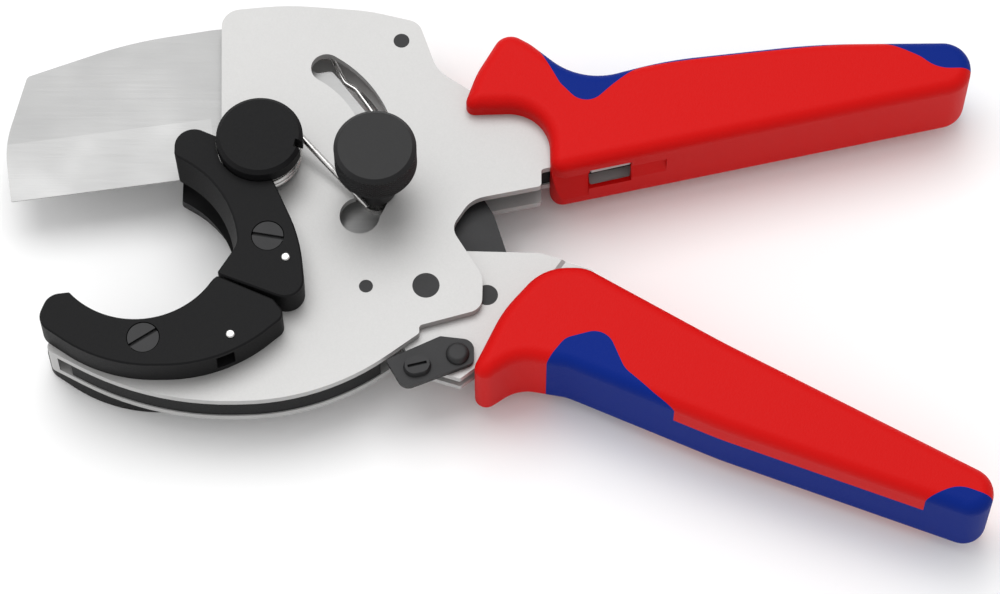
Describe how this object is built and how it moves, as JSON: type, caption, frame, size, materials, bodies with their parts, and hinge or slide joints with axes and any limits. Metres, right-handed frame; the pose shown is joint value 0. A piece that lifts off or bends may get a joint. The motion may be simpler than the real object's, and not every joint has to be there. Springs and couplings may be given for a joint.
{
  "type": "ratchet plastic pipe cutter",
  "caption": "Two-handed ratchet cutter for plastic pipe: a blade between two side plates, a C-shaped pipe cradle, a knob in an arc slot and two-colour grips.",
  "frame": {"origin": "axis of the largest pipe in the cradle, midway between the two side plates", "axes": "+X from the blade to the grips, +Y towards the upper grip's side, +Z across the plates to the knob"},
  "size_m": [0.2235, 0.1297, 0.0409],
  "materials": {
    "plated_steel": "satin nickel plate",
    "blade_steel": "ground steel, grain along the edge",
    "spring_steel": "drawn bright wire",
    "dark_steel": "blackened steel, satin",
    "black_metal": "black, fine knurl",
    "black_plastic": "charcoal, fine moulded grain",
    "red_grip": "red, fine moulded grain",
    "blue_grip": "blue, soft, fine grain"
  },
  "bodies": {
    "frame": {"front_plate": "plated_steel", "rear_plate": "plated_steel", "spacer_strip": "black_plastic", "tip_spacer": "plated_steel", "tang_spacer": "black_plastic", "frame_rivet": "dark_steel", "main_rivet": "dark_steel", "holding_pawl_rivet": "dark_steel", "pivot_bolt": "dark_steel", "pivot_sleeve": "spring_steel", "pivot_washer": "spring_steel", "spring_cap": "black_plastic", "spring_coil": "spring_steel", "lower_jaw_front": "black_plastic", "upper_jaw_front": "black_plastic", "lower_jaw_rear": "black_plastic", "upper_jaw_rear": "black_plastic", "jaw_screws_front": "dark_steel", "jaw_screws_rear": "dark_steel", "jaw_dowels_front": "spring_steel", "jaw_dowels_rear": "spring_steel", "wire_spring": "spring_steel", "handle_spring": "spring_steel", "upper_grip": "red_grip", "upper_grip_insert": "blue_grip"},
    "blade_carrier": {"blade": "blade_steel", "spring_leg": "spring_steel", "knob_stud": "spring_steel", "knob_neck": "dark_steel", "knurled_knob": "black_metal"},
    "lever": {"lower_lever": "plated_steel", "drive_pawl_rivet": "dark_steel", "latch_rivet": "dark_steel", "lower_grip": "red_grip", "lower_grip_insert": "blue_grip"},
    "drive_pawl_body": {"drive_pawl": "dark_steel"},
    "holding_pawl_body": {"holding_pawl": "dark_steel"},
    "latch_body": {"latch": "dark_steel"}
  },
  "joints": [
    {"name": "blade_pivot", "type": "hinge", "parent": "frame", "child": "blade_carrier", "pos_m": [0.027, 0.0246, 0], "axis": [0, 0, 1], "range_deg": [-18, 73]},
    {"name": "lever_pivot", "type": "hinge", "parent": "frame", "child": "lever", "pos_m": [0.065, -0.0078, 0], "axis": [0, 0, 1], "range_deg": [0, 32], "stiffness_Nm_per_rad": 0.6},
    {"name": "drive_pawl_pivot", "type": "hinge", "parent": "lever", "child": "drive_pawl_body", "pos_m": [0.0788, -0.0092, 0], "axis": [0, 0, 1], "range_deg": [-33, 1]},
    {"name": "holding_pawl_pivot", "type": "hinge", "parent": "frame", "child": "holding_pawl_body", "pos_m": [0.0514, -0.008, 0], "axis": [0, 0, 1], "range_deg": [-12, 0], "stiffness_Nm_per_rad": 0.004},
    {"name": "latch_pivot", "type": "hinge", "parent": "lever", "child": "latch_body", "pos_m": [0.07225, -0.0246, 0], "axis": [0, 0, 1], "range_deg": [0, 40]}
  ],
  "couplings": [
    {"joint": "drive_pawl_pivot", "follows": "lever_pivot", "ratio": -1}
  ]
}
